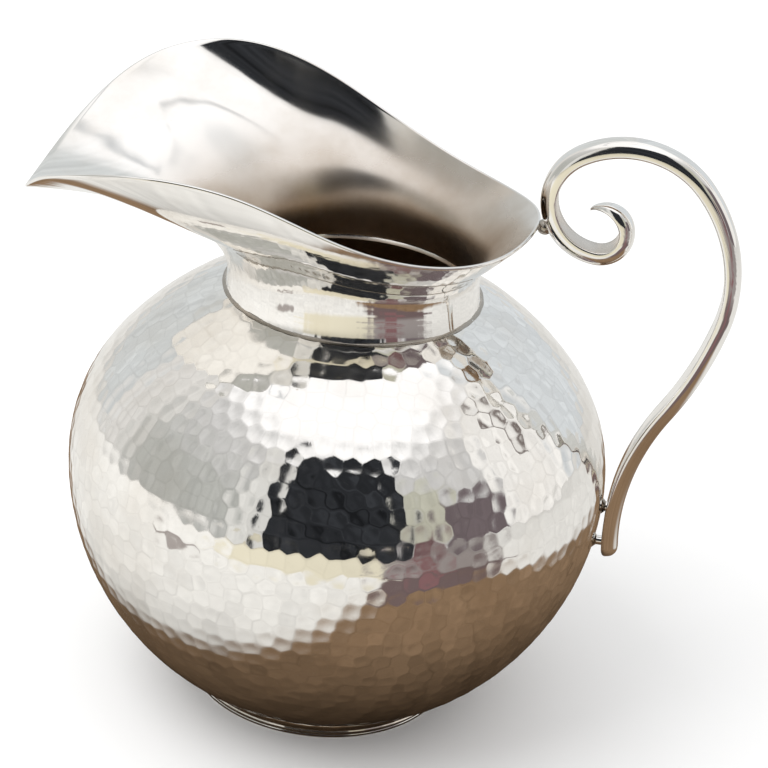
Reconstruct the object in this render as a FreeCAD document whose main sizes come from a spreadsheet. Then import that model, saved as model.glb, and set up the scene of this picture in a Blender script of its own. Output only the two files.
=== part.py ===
# Water pitcher of silver sheet: a hammered bowl of two soldered halves, a raised neck and lip, a foot
# ring and a scrolled handle on two pegs. The origin is the middle of the foot ring's underside, +Z is
# up, the spout points to -X and the handle stands on +X. The pitcher is symmetric about Y = 0.
import FreeCAD, Part
import math
import os
import Sketcher
from FreeCAD import Placement, Rotation, Vector

DRIVING_SIZES = [
    ("bowl_radius", 84.0),           # widest radius, at the seam between the halves
    ("seam_height", 78.0),           # height of that seam above the table
    ("crown_rise", 67.5),            # how far the upper half would rise on the axis
    ("shoulder_bend", 52.0),         # radius of its shoulder, in a section through the axis
    ("bowl_wall", 1.2),              # sheet thickness after hammering
    ("base_height", 4.0),            # underside of the bowl's flat bottom
    ("base_bend", 30.0),             # bend from the round bowl to the flat bottom
    ("mouth_radius", 37.6),          # hole in the top of the bowl
    ("neck_radius", 37.2),           # neck at its narrowest, outside
    ("neck_spread", 39.2),           # lower edge of the neck, before it is trimmed to the bowl
    ("neck_start_height", 136.0),    # height of that edge
    ("neck_waist_height", 143.0),    # height of the narrowest place
    ("lip_wall", 1.1),               # sheet thickness of neck and lip
    ("neck_solder_reach", 1.2),      # fillet of solder around the neck
    ("foot_radius", 41.6),           # foot ring at the table
    ("foot_edge_height", 1.3),       # upright edge of the foot ring
    ("foot_rest_width", 2.4),        # flat ring that touches the table
    ("foot_neck_radius", 37.6),      # foot ring where it meets the bowl, outside
    ("foot_joint_width", 1.6),       # width of that joint
    ("foot_solder_reach", 1.0),      # fillet of solder outside the joint
    ("handle_width", 8.5),           # bar of the handle, across
    ("handle_flat", 2.5),            # height of its straight sides
    ("handle_crown", 2.6),           # its half-round outer face, above the sides
    ("handle_inset", 1.8),           # from the bend line in to the flat inner face
    ("handle_tip_x", 69.1),          # free end of the scroll, on the bend line
    ("handle_tip_z", 173.7),
    ("handle_tip_heading", 18.7),    # degrees above +X at that end
    ("peg_radius", 1.5),             # pins between the bowl and the handle's tail
    ("upper_peg_height", 74.8),
    ("lower_peg_height", 62.5),
    ("peg_solder_radius", 2.4),      # solder around each pin, on the bowl
    ("peg_solder_reach", 1.0),       # how far it stands off the bowl
    ("rim_solder_radius", 2.4),      # solder between the lip's rear edge and the scroll
    ("rim_solder_x", 55.3),
    ("rim_solder_z", 165.4),
]

# The bend line of the handle from the scroll's tip to the tail: radius and turn in degrees of each
# arc, tangent to the one before it. A negative turn is clockwise with +X to the right and +Z up.
HANDLE_ARCS = [
    (7.5, -116.7),    # hook of the scroll
    (7.3, -86.5),     # underside of the scroll
    (16.2, -143.6),   # back of the scroll, against the lip
    (28.2, -80.7),    # arch
    (48.3, -55.6),    # grip
    (114.0, -16.3),   # long run down to the bowl
    (79.7, 39.1),     # tail
]

# The edge of the lip from the handle round one side to the point of the spout. Each station has its
# place, the upward slope of the sheet there and the direction in which it leaves the neck, both in
# degrees; the direction is counted from +X.
LIP_STATIONS = [
    (54.0, 0.0, 166.5, 42.0, 0.0),       # behind, against the scroll
    (45.0, 26.0, 164.2, 52.0, 26.0),     # lowest, beside the handle
    (24.0, 43.0, 166.0, 63.0, 50.0),
    (0.0, 53.0, 174.0, 67.0, 75.0),
    (-28.0, 58.5, 185.5, 64.0, 98.0),
    (-54.0, 60.5, 188.5, 52.0, 117.0),   # highest and widest
    (-75.0, 54.0, 183.5, 32.0, 134.0),
    (-89.5, 37.0, 173.5, 12.0, 150.0),
    (-98.0, 18.0, 162.5, -2.0, 166.0),
    (-101.0, 0.0, 157.5, -6.0, 180.0),   # point of the spout
]
FLARE_REACH = 0.4        # share of the way from neck to edge over which the edge's slope is felt
THROAT_LEAN = 0.15       # how far the throat already leans towards the edge
THROAT_LIFT = 0.35       # how far it has risen, as a share of the flare's rise
THROAT_RISE = 4.0        # plus this much, in millimetres
SIDE_LIFT = 0.22         # how much more it rises at the sides, as a share of the flare's rise
SIDE_UPRIGHT = 0.8       # how much less it leans there

doc = FreeCAD.newDocument("water_pitcher")
sheet = doc.addObject("Spreadsheet::Sheet", "Sizes")
for row, (alias, value) in enumerate(DRIVING_SIZES, start=1):
    sheet.set("A%d" % row, alias)
    sheet.set("B%d" % row, str(value))
    sheet.setAlias("B%d" % row, alias)
doc.recompute()


def size(alias):
    return float(sheet.get(alias))


def bind(thing, **expressions):
    """Tie properties of a document object to cells of the sheet."""
    for path, expression in expressions.items():
        thing.setExpression(path.replace("__", "."), expression)


# ---------------------------------------------------------------- primitives and booleans

def primitive(kind, name, turn=Rotation(), **expressions):
    thing = doc.addObject("Part::" + kind, name)
    thing.Placement = Placement(Vector(0, 0, 0), turn)
    bind(thing, **expressions)
    return thing


def cut(name, base, *tools):
    """Take each tool away from the base in turn. The last result carries the name."""
    for number, tool in enumerate(tools, start=1):
        last = number == len(tools)
        result = doc.addObject("Part::Cut", name if last else "%s_step_%d" % (name, number))
        result.Base = base
        result.Tool = tool
        base = result
    return base


SEAM_ASIDE = Rotation(Vector(0, 0, 1), 90)     # keeps a ball's own seam away from the handle


# ---------------------------------------------------------------- spun pieces

def line(x1, z1, x2, z2):
    return Part.LineSegment(Vector(x1, z1, 0), Vector(x2, z2, 0))


def arc(centre, radius, start, end):
    """Arc of a sketch, anticlockwise between two angles in radians."""
    circle = Part.Circle(Vector(centre[0], centre[1], 0), Vector(0, 0, 1), radius)
    return Part.ArcOfCircle(circle, start, end)


def angle_at(centre, x, z):
    return math.atan2(z - centre[1], x - centre[0])


class Profile:
    """A sketch on an upright plane of a body of its own. Spun pieces use the YZ plane, so that the
    seam of each spun surface lies away from the handle."""

    def __init__(self, name, role="YZ_Plane"):
        self.body = doc.addObject("PartDesign::Body", name)
        self.sketch = self.body.newObject("Sketcher::SketchObject", name + "_profile")
        plane = next(f for f in self.body.Origin.OriginFeatures if f.Role == role)
        self.sketch.AttachmentSupport = [(plane, "")]
        self.sketch.MapMode = "FlatFace"

    def draw(self, edges, smooth=(), loop=True):
        """Draw edges and join each to the next where their ends meet, tangent after those in smooth."""
        for edge in edges:
            self.sketch.addGeometry(edge, False)
        for first in range(len(edges) if loop else len(edges) - 1):
            second = (first + 1) % len(edges)
            kind = "Tangent" if first in smooth else "Coincident"
            for end in (1, 2):
                for start in (1, 2):
                    gap = self.sketch.getPoint(first, end) - self.sketch.getPoint(second, start)
                    if gap.Length < 1e-6:
                        self.rule(kind, first, end, second, start)

    def rule(self, kind, *references):
        return self.sketch.addConstraint(Sketcher.Constraint(kind, *references))

    def measure(self, kind, references, expression, value):
        """Add a dimension and tie it to the sheet."""
        index = self.sketch.addConstraint(Sketcher.Constraint(kind, *references, value))
        self.sketch.setExpression("Constraints[%d]" % index, expression)

    def spin(self):
        revolution = self.body.newObject("PartDesign::Revolution", self.body.Name + "_spun")
        revolution.Profile = self.sketch
        revolution.ReferenceAxis = (self.sketch, ["V_Axis"])
        revolution.Angle = 360
        return self.body


ORIGIN = -1              # Sketcher's number for the sketch's own axes, whose point 1 is the origin
UPRIGHT = -2             # Sketcher's number for the vertical axis
MIDDLE = 3               # Sketcher's number for the centre of an arc


def base_bend_centre():
    """Centre of the bend that joins the round bowl to its flat bottom."""
    height = size("base_height") + size("base_bend")
    reach = size("bowl_radius") - size("base_bend")
    return math.sqrt(reach ** 2 - (size("seam_height") - height) ** 2), height


def make_lower_half():
    radius, wall, seam = size("bowl_radius"), size("bowl_wall"), size("seam_height")
    base, bend = size("base_height"), size("base_bend")
    middle = (0.0, seam)
    corner = base_bend_centre()
    leave = angle_at(middle, *corner)
    profile = Profile("bowl_lower_half")
    profile.draw([
        arc(middle, radius, leave, 0.0),
        arc(corner, bend, -math.pi / 2, leave),
        line(corner[0], base, 0.0, base),
        line(0.0, base, 0.0, base + wall),
        line(0.0, base + wall, corner[0], base + wall),
        arc(corner, bend - wall, -math.pi / 2, leave),
        arc(middle, radius - wall, leave, 0.0),
        line(radius - wall, seam, radius, seam),
    ], smooth=(0, 1, 4, 5))
    outer, outer_bend, under, axis, floor, inner_bend, inner, rim = range(8)
    profile.rule("PointOnObject", outer, MIDDLE, UPRIGHT)
    profile.rule("Coincident", outer, MIDDLE, inner, MIDDLE)
    profile.rule("Horizontal", under)
    profile.rule("Horizontal", floor)
    profile.rule("PointOnObject", axis, 1, UPRIGHT)
    profile.rule("PointOnObject", axis, 2, UPRIGHT)
    profile.rule("Horizontal", outer, MIDDLE, outer, 2)
    profile.rule("Horizontal", rim)
    profile.measure("DistanceY", (ORIGIN, 1, outer, MIDDLE), "Sizes.seam_height", seam)
    profile.measure("DistanceY", (ORIGIN, 1, axis, 1), "Sizes.base_height", base)
    profile.measure("DistanceY", (axis, 1, axis, 2), "Sizes.bowl_wall", wall)
    profile.measure("Radius", (outer,), "Sizes.bowl_radius", radius)
    profile.measure("Radius", (inner,), "Sizes.bowl_radius - Sizes.bowl_wall", radius - wall)
    profile.measure("Radius", (outer_bend,), "Sizes.base_bend", bend)
    profile.measure("Radius", (inner_bend,), "Sizes.base_bend - Sizes.bowl_wall", bend - wall)
    return profile.spin()


def crown_radius():
    """Radius of the top of the bowl, which runs smoothly into the shoulder's bend."""
    bend, rise = size("shoulder_bend"), size("crown_rise")
    return ((size("bowl_radius") - bend) ** 2 + rise ** 2 - bend ** 2) / (2 * (rise - bend))


CROWN_RADIUS = ("((Sizes.bowl_radius - Sizes.shoulder_bend)^2 + Sizes.crown_rise^2 - Sizes.shoulder_bend^2)"
                " / (2 * (Sizes.crown_rise - Sizes.shoulder_bend))")


def make_upper_half():
    radius, wall, seam = size("bowl_radius"), size("bowl_wall"), size("seam_height")
    bend, mouth = size("shoulder_bend"), size("mouth_radius")
    top_radius = crown_radius()
    shoulder = (radius - bend, seam)
    top = (0.0, seam + size("crown_rise") - top_radius)
    meet = angle_at(top, *shoulder)
    outer_lip, inner_lip = (math.acos(mouth / r) for r in (top_radius, top_radius - wall))
    lip_heights = [top[1] + math.sqrt(r ** 2 - mouth ** 2) for r in (top_radius, top_radius - wall)]
    profile = Profile("bowl_upper_half")
    profile.draw([
        arc(shoulder, bend, 0.0, meet),
        arc(top, top_radius, meet, outer_lip),
        line(mouth, lip_heights[0], mouth, lip_heights[1]),
        arc(top, top_radius - wall, meet, inner_lip),
        arc(shoulder, bend - wall, 0.0, meet),
        line(radius - wall, seam, radius, seam),
    ], smooth=(0, 3))
    outer, outer_top, edge, inner_top, inner, rim = range(6)
    profile.rule("Coincident", outer, MIDDLE, inner, MIDDLE)
    profile.rule("Coincident", outer_top, MIDDLE, inner_top, MIDDLE)
    profile.rule("PointOnObject", outer_top, MIDDLE, UPRIGHT)
    profile.rule("Horizontal", outer, MIDDLE, outer, 1)
    profile.rule("Horizontal", rim)
    profile.rule("Vertical", edge)
    profile.measure("DistanceX", (ORIGIN, 1, edge, 1), "Sizes.mouth_radius", mouth)
    profile.measure("DistanceX", (ORIGIN, 1, outer, MIDDLE),
                    "Sizes.bowl_radius - Sizes.shoulder_bend", radius - bend)
    profile.measure("DistanceY", (ORIGIN, 1, outer, MIDDLE), "Sizes.seam_height", seam)
    profile.measure("Radius", (outer,), "Sizes.shoulder_bend", bend)
    profile.measure("Radius", (outer_top,), CROWN_RADIUS, top_radius)
    profile.measure("Radius", (inner_top,), CROWN_RADIUS + " - Sizes.bowl_wall", top_radius - wall)
    return profile.spin()


def crown_ball(name):
    """The ball that the top of the bowl is part of."""
    return primitive("Sphere", name, SEAM_ASIDE, Radius=CROWN_RADIUS,
                     Placement__Base__z="Sizes.seam_height + Sizes.crown_rise - " + CROWN_RADIUS)


def make_foot_ring():
    radius, edge, rest = size("foot_radius"), size("foot_edge_height"), size("foot_rest_width")
    outside, joint = size("foot_neck_radius"), size("foot_joint_width")
    bend, corner = size("base_bend"), base_bend_centre()
    outside_height = bowl_underside(outside)
    sweep, sweep_radius = foot_sweep()
    inside = outside - joint
    profile = Profile("foot_ring")
    profile.draw([
        line(radius - rest, 0.0, radius, 0.0),
        line(radius, 0.0, radius, edge),
        arc(sweep, sweep_radius, math.pi, 2 * math.pi + angle_at(sweep, radius, edge)),
        arc(corner, bend, angle_at(corner, inside, bowl_underside(inside)),
            angle_at(corner, outside, outside_height)),
        line(inside, bowl_underside(inside), radius - rest, 0.0),
    ])
    bottom, side, flare = 0, 1, 2
    profile.rule("Horizontal", bottom)
    profile.rule("Vertical", side)
    profile.rule("PointOnObject", bottom, 1, ORIGIN)
    profile.measure("DistanceX", (ORIGIN, 1, bottom, 2), "Sizes.foot_radius", radius)
    profile.measure("DistanceX", (bottom, 1, bottom, 2), "Sizes.foot_rest_width", rest)
    profile.measure("DistanceY", (side, 1, side, 2), "Sizes.foot_edge_height", edge)
    profile.measure("DistanceX", (ORIGIN, 1, flare, 1), "Sizes.foot_neck_radius", outside)
    return profile.spin()


def bowl_underside(radius):
    """Height of the bowl's underside inside the bend, at a distance from the axis."""
    corner = base_bend_centre()
    return corner[1] - math.sqrt(size("base_bend") ** 2 - (radius - corner[0]) ** 2)


def foot_sweep():
    """Centre and radius of the hollow sweep from the foot's upright edge to its joint."""
    outside = size("foot_neck_radius")
    top = bowl_underside(outside)
    across = size("foot_radius") - outside
    rise = top - size("foot_edge_height")
    radius = (across ** 2 + rise ** 2) / (2 * across)
    return (outside + radius, top), radius


def make_foot_solder():
    reach, outside = size("foot_solder_reach"), size("foot_neck_radius")
    corner, bend = base_bend_centre(), size("base_bend")
    sweep, sweep_radius = foot_sweep()
    top = bowl_underside(outside)
    far = outside + reach
    low = top - reach
    low_x = sweep[0] - math.sqrt(sweep_radius ** 2 - reach ** 2)
    profile = Profile("foot_solder_seam")
    profile.draw([
        arc(corner, bend, angle_at(corner, outside, top), angle_at(corner, far, bowl_underside(far))),
        line(far, bowl_underside(far), low_x, low),
        arc(sweep, sweep_radius, math.pi, 2 * math.pi + angle_at(sweep, low_x, low)),
    ])
    profile.measure("DistanceX", (ORIGIN, 1, 0, 1), "Sizes.foot_neck_radius", outside)
    profile.measure("DistanceX", (0, 1, 0, 2), "Sizes.foot_solder_reach", reach)
    return profile.spin()


# ---------------------------------------------------------------- neck and lip

def lip_poles():
    """Rows of places on the outer skin, from the lower edge of the neck to the edge of the lip."""
    spread, neck = size("neck_spread"), size("neck_radius")
    start, waist_height = size("neck_start_height"), size("neck_waist_height")
    mirrored = [(x, -y, z, slope, -turn) for x, y, z, slope, turn in LIP_STATIONS[-2:0:-1]]
    rows = [[], [], [], [], []]
    for x, y, z, slope, turn in LIP_STATIONS + mirrored:
        outward = Vector(math.cos(math.radians(turn)), math.sin(math.radians(turn)), 0)
        waist = outward * neck + Vector(0, 0, waist_height)
        edge = Vector(x, y, z)
        away = Vector(edge.x - waist.x, edge.y - waist.y, 0).normalize()
        slope = math.radians(slope)
        along = away * math.cos(slope) + Vector(0, 0, math.sin(slope))
        flare = edge - along * (edge - waist).Length * FLARE_REACH
        side = abs(outward.y)
        rise = (flare.z - waist.z) * (THROAT_LIFT + SIDE_LIFT * side) + THROAT_RISE
        lean = Vector(flare.x - waist.x, flare.y - waist.y, 0) * THROAT_LEAN * (1 - SIDE_UPRIGHT * side)
        throat = waist + lean + Vector(0, 0, rise)
        for row, point in zip(rows, (outward * spread + Vector(0, 0, start), waist, throat, flare, edge)):
            row.append(point)
    return rows


def skin(rows):
    """Surface whose rows of places become rows of poles, closed round the axis."""
    edge = rows[-1]
    knots = [0.0]
    for first, second in zip(edge, edge[1:] + edge[:1]):
        knots.append(knots[-1] + (second - first).Length)
    curves = []
    for row in rows:
        curve = Part.BSplineCurve()
        curve.interpolate(Points=row, PeriodicFlag=True, Parameters=knots)
        curves.append(curve)
    poles = [[curve.getPoles()[i] for curve in curves] for i in range(curves[0].NbPoles)]
    surface = Part.BSplineSurface()
    surface.buildFromPolesMultsKnots(poles, curves[0].getMultiplicities(), [4, 1, 4],
                                     curves[0].getKnots(), [0.0, 0.5, 1.0], True, False, 3, 3)
    return surface, knots[:-1]


def make_neck_and_lip():
    rows = lip_poles()
    outer, stations = skin(rows)
    row_places = [0.0, 1.0 / 6, 0.5, 5.0 / 6, 1.0]
    inward = -1 if outer.normal(0.0, row_places[1]).x > 0 else 1
    inner_rows = []
    for row, place in zip(rows, row_places):
        normals = [outer.normal(station, place) * inward for station in stations]
        inner_rows.append([point + normal * size("lip_wall") for point, normal in zip(row, normals)])
    inner, _ = skin(inner_rows)
    skins = [outer.toShape(), inner.toShape()]
    edges = [sorted((e for e in face.Edges if e.isClosed()), key=lambda e: e.BoundBox.ZMax)
             for face in skins]
    joints = [Part.makeRuledSurface(edges[0][end], edges[1][end]) for end in (0, -1)]
    shell = Part.Shell(skins + joints)
    shell.sewShape()
    solid = Part.Solid(shell)
    if solid.Volume < 0:
        solid.reverse()
    raised = doc.addObject("Part::Feature", "neck_and_lip_untrimmed")
    raised.Shape = solid
    return cut("neck_and_lip", raised, crown_ball("ball_under_neck"))


def make_neck_solder(neck):
    cone = primitive("Cone", "neck_solder_cone",
                     Radius1="Sizes.neck_spread + Sizes.neck_solder_reach",
                     Radius2="Sizes.neck_spread - Sizes.neck_solder_reach",
                     Height="Sizes.neck_solder_reach * 2.5",
                     Placement__Base__z="Sizes.neck_start_height")
    bore = primitive("Cone", "neck_solder_bore",
                     Radius1="Sizes.neck_spread - Sizes.lip_wall / 2",
                     Radius2="Sizes.neck_radius - Sizes.lip_wall / 2",
                     Height="Sizes.neck_waist_height - Sizes.neck_start_height",
                     Placement__Base__z="Sizes.neck_start_height")
    return cut("neck_solder_seam", cone, crown_ball("ball_under_solder"), bore, neck)


# ---------------------------------------------------------------- handle

def handle_path():
    """Arcs of the bend line, each as centre, radius, start angle and turn in radians."""
    point = Vector(size("handle_tip_x"), size("handle_tip_z"), 0)
    heading = math.radians(size("handle_tip_heading"))
    arcs = []
    for radius, turn in HANDLE_ARCS:
        turn = math.radians(turn)
        towards_centre = Vector(-math.sin(heading), math.cos(heading), 0) * math.copysign(1.0, turn)
        centre = point + towards_centre * radius
        start = math.atan2(-towards_centre.y, -towards_centre.x)
        arcs.append((centre, radius, start, turn))
        heading += turn
        point = centre + Vector(math.cos(start + turn), math.sin(start + turn), 0) * radius
    return arcs


def make_handle():
    """A half-round bar bent along the path, with its flat face inwards."""
    path = Profile("handle_scroll", "XZ_Plane")
    bends = [arc((centre.x, centre.y), radius, min(start, start + turn), max(start, start + turn))
             for centre, radius, start, turn in handle_path()]
    path.draw(bends, loop=False)
    half, inset = size("handle_width") / 2, size("handle_inset")
    flat, rise = size("handle_flat"), size("handle_crown")
    shoulder = flat - inset
    crown_radius = (half ** 2 + rise ** 2) / (2 * rise)
    middle = (0.0, shoulder + rise - crown_radius)
    section = path.body.newObject("Sketcher::SketchObject", "handle_section")
    plane = next(f for f in path.body.Origin.OriginFeatures if f.Role == "XY_Plane")
    section.AttachmentSupport = [(plane, "")]
    section.MapMode = "FlatFace"
    heading = math.radians(size("handle_tip_heading"))
    outward = Vector(-math.sin(heading), 0, math.cos(heading))
    along = Vector(math.cos(heading), 0, math.sin(heading))
    section.AttachmentOffset = Placement(Vector(size("handle_tip_x"), 0, size("handle_tip_z")),
                                         Rotation(Vector(0, 1, 0), outward, along, "XYZ"))
    outline = [
        line(-half, -inset, half, -inset),
        line(half, -inset, half, shoulder),
        arc(middle, crown_radius, angle_at(middle, half, shoulder), angle_at(middle, -half, shoulder)),
        line(-half, shoulder, -half, -inset),
    ]
    for edge in outline:
        section.addGeometry(edge, False)
    pipe = path.body.newObject("PartDesign::AdditivePipe", "handle_bar")
    pipe.Profile = section
    pipe.Spine = (path.sketch, ["Edge%d" % (n + 1) for n in range(len(bends))])
    doc.recompute()
    return path.body


# ---------------------------------------------------------------- pegs and solder

CROSSWAYS = Rotation(Vector(0, 1, 0), 90)      # turns an upright primitive to point along +X


def make_peg(name, height_alias, bowl_halves, handle):
    """A pin from the bowl to the tail of the handle, and the solder around its foot."""
    height = "Sizes." + height_alias
    middle_of_wall = ("sqrt(Sizes.bowl_radius^2 - (Sizes.seam_height - %s)^2) - Sizes.bowl_wall / 2"
                      % height)
    pin = primitive("Cylinder", name + "_stock", CROSSWAYS,
                    Radius="Sizes.peg_radius", Height="Sizes.peg_radius * 3",
                    Placement__Base__x=middle_of_wall, Placement__Base__z=height)
    collar = primitive("Cone", name + "_solder_stock", CROSSWAYS,
                       Radius1="Sizes.peg_solder_radius + Sizes.bowl_wall / 2", Radius2="Sizes.peg_radius",
                       Height="Sizes.peg_solder_reach + Sizes.bowl_wall / 2",
                       Placement__Base__x=middle_of_wall, Placement__Base__z=height)
    peg = cut(name, pin, *bowl_halves, handle)
    return peg, cut(name + "_solder", collar, pin, *bowl_halves)


def make_rim_solder(neck, handle):
    blob = primitive("Sphere", "rim_solder_stock", SEAM_ASIDE, Radius="Sizes.rim_solder_radius",
                     Placement__Base__x="Sizes.rim_solder_x", Placement__Base__z="Sizes.rim_solder_z")
    return cut("rim_solder", blob, neck, handle)


# ---------------------------------------------------------------- the pitcher

lower_half = make_lower_half()
upper_half = make_upper_half()
neck_and_lip = make_neck_and_lip()
foot_ring = make_foot_ring()
handle = make_handle()
doc.recompute()
bowl_halves = (lower_half, upper_half)
upper_peg, upper_peg_solder = make_peg("upper_peg", "upper_peg_height", bowl_halves, handle)
lower_peg, lower_peg_solder = make_peg("lower_peg", "lower_peg_height", bowl_halves, handle)
pieces = [
    lower_half, upper_half, neck_and_lip, make_neck_solder(neck_and_lip), foot_ring, make_foot_solder(),
    handle, make_rim_solder(neck_and_lip, handle), upper_peg, upper_peg_solder, lower_peg,
    lower_peg_solder,
]
doc.recompute()

faulty = [thing.Name for thing in doc.Objects if {"Invalid", "Error"} & set(thing.State)]
faulty += [piece.Name for piece in pieces if piece.Shape.isNull() or not piece.Shape.isValid()]
if faulty:
    raise RuntimeError("These did not build: " + ", ".join(faulty))

os.makedirs("parts", exist_ok=True)
for piece in pieces:
    piece.Label = piece.Name
    piece.Shape.exportStep("parts/%s.step" % piece.Label)
    print("%-18s solids %d  volume %9.1f mm3" % (piece.Label, len(piece.Shape.Solids), piece.Shape.Volume))
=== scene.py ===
"""Looks of the hammered silver water pitcher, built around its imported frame.

Metres, +Z up, the spout points to -X and the handle stands on +X. Places come from the frame's boxes. The
courses of the bowl, the lip and the handle repeat the design's driving sizes, because a smooth polished
surface needs a finer mesh than the frame carries.
"""

import math
import random

import bmesh
import bpy
import numpy as np
from mathutils import Matrix, Vector
from mathutils.geometry import delaunay_2d_cdt


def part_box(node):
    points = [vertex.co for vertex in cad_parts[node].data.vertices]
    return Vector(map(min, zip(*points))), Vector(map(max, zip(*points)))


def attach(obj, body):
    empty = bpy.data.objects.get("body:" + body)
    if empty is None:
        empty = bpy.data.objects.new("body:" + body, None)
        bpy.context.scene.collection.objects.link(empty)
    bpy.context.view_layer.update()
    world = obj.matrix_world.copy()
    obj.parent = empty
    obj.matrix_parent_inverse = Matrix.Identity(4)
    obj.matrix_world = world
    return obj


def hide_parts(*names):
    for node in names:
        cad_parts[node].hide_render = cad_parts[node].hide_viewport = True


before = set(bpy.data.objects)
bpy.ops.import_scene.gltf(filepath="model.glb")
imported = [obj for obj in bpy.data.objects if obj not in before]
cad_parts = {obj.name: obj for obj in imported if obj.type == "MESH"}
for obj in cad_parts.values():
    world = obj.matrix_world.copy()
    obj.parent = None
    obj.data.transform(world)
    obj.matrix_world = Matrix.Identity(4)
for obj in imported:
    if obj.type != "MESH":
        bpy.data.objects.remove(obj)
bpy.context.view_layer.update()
MM = 0.001

# ---------------------------------------------------------------- driving sizes

BOWL_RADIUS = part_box("bowl_lower_half")[1].y
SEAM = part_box("bowl_lower_half")[1].z
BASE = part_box("bowl_lower_half")[0].z
FOOT_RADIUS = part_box("foot_ring")[1].y
BOWL_WALL = 1.2 * MM
BASE_BEND = 30 * MM
SHOULDER_BEND = 52 * MM
CROWN_RISE = 67.5 * MM
MOUTH_RADIUS = 37.6 * MM
NECK_RADIUS = 37.2 * MM
NECK_SPREAD = 39.2 * MM
NECK_START = 136 * MM
NECK_WAIST = 143 * MM
LIP_WALL = 1.1 * MM
FOOT_NECK_RADIUS = 37.6 * MM
FOOT_REST_WIDTH = 2.4 * MM
FOOT_EDGE = 1.3 * MM

HAMMER_PITCH = 5.5 * MM      # from the middle of one hammer mark to the next
HAMMER_DEPTH = 0.15 * MM     # middle of a mark below its ridges
RIDGE_ROUNDING = 0.12        # share of that depth taken off the ridges
RING_STEP = 0.87             # from one ring of marks to the next, in pitches
STRAY_ASIDE = 0.13           # how far marks stray from their places in a ring, in pitches
STRAY_ALONG = 0.11           # and across the ring
STRAY_LIMIT = 0.3
RIDGE_PART = 0.19            # length of one edge along a ridge, in pitches
HOLLOW_MIDDLE = 1.1          # depth of the paraboloid in a mark at its middle, in hammer depths
HOLLOW_CURVE = 0.83          # and what it loses half a pitch away
HOLLOW_RINGS = (0.80, 0.45)  # rings of vertices in a mark, as shares of the way to its ridges
BASE_DEPTH = 0.25            # share of the depth that marks have on the flat bottom
BASE_EDGE = 30 * MM          # where the marks begin to deepen, along the outline
BASE_FADE = 12 * MM
WAVE_DEPTH = 0.12 * MM       # broad unevenness of the bowl
WAVE_FADE = 20 * MM
INSIDE_DENT = 0.05 * MM      # soft unevenness of the bowl's inside

# The edge of the lip from the handle round one side to the point of the spout: x, y and z in millimetres,
# the upward slope of the sheet there and the direction in which it leaves the neck, in degrees.
LIP_STATIONS = [
    (54.0, 0.0, 166.5, 42.0, 0.0),
    (45.0, 26.0, 164.2, 52.0, 26.0),
    (24.0, 43.0, 166.0, 63.0, 50.0),
    (0.0, 53.0, 174.0, 67.0, 75.0),
    (-28.0, 58.5, 185.5, 64.0, 98.0),
    (-54.0, 60.5, 188.5, 52.0, 117.0),
    (-75.0, 54.0, 183.5, 32.0, 134.0),
    (-89.5, 37.0, 173.5, 12.0, 150.0),
    (-98.0, 18.0, 162.5, -2.0, 166.0),
    (-101.0, 0.0, 157.5, -6.0, 180.0),
]
PATINA_TOP = 177 * MM        # the inside of the throat darkens from here down
PATINA_FADE = 31 * MM
PATINA_REACH = 50 * MM       # and from here outwards the spout gets bright again
PATINA_FADE_OUT = 20 * MM
FLARE_REACH = 0.4            # share of the sheet over which the lip keeps its slope
THROAT_LEAN = 0.15           # the throat's place between waist and flare: share of the way out
THROAT_LIFT = 0.35           # and share of the way up
THROAT_RISE = 4.0 * MM
SIDE_LIFT = 0.22             # how much more the throat rises at the sides
SIDE_UPRIGHT = 0.8           # and how much less it leans
NECK_MARKS = 0.07 * MM       # depth of the upright marks that raising left on the outside of the neck
NECK_MARKS_TOP = 176 * MM
NECK_MARKS_FADE = 8 * MM

FOOT_ROUNDING = 0.35 * MM    # edges of the foot ring
FOOT_JOINT_WIDTH = 1.6 * MM  # where the foot ring meets the bowl
SEAM_REACH = 0.6 * MM        # size of the neck's solder fillet on the bowl and on the neck
SEAM_SAG = 0.16 * MM         # depth of its hollow face
SEAM_WOBBLE = 0.06 * MM

# The bend line of the handle from the scroll's tip: each arc's radius in millimetres and turn in degrees.
HANDLE_ARCS = [(7.5, -116.7), (7.3, -86.5), (16.2, -143.6), (28.2, -80.7), (48.3, -55.6),
               (114.0, -16.3), (79.7, 39.1)]
HANDLE_TIP = Vector((69.1, 0.0, 173.7)) * MM
HANDLE_TIP_HEADING = 18.7
HANDLE_WIDTH = 8.5 * MM
HANDLE_FLAT = 2.5 * MM        # thickness of the bar's straight-sided part
HANDLE_CROWN = 2.57 * MM      # height of the crown on it
HANDLE_INSET = 1.8 * MM       # the flat inner face's distance from the bend line
HANDLE_SOFT = 0.6 * MM        # edges of the inner face
HANDLE_REACH = 1.4 * MM       # the leaf's point beyond the end of the bend line
POINT_DROP = 0.5 * MM         # and how far it curls in
LEAF_LENGTH = 13 * MM         # from the point to the full width of the bar
SWELL_LENGTH = 26 * MM        # and to its full thickness
TAIL_LENGTH = 3.4 * MM        # the rounding of the tail
CURL_FADE = 12 * MM           # the end of the tarnish on the inner face of the scroll
CURL_PATINA = 0.55

rng = random.Random(7)


# ---------------------------------------------------------------- meshes

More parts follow.
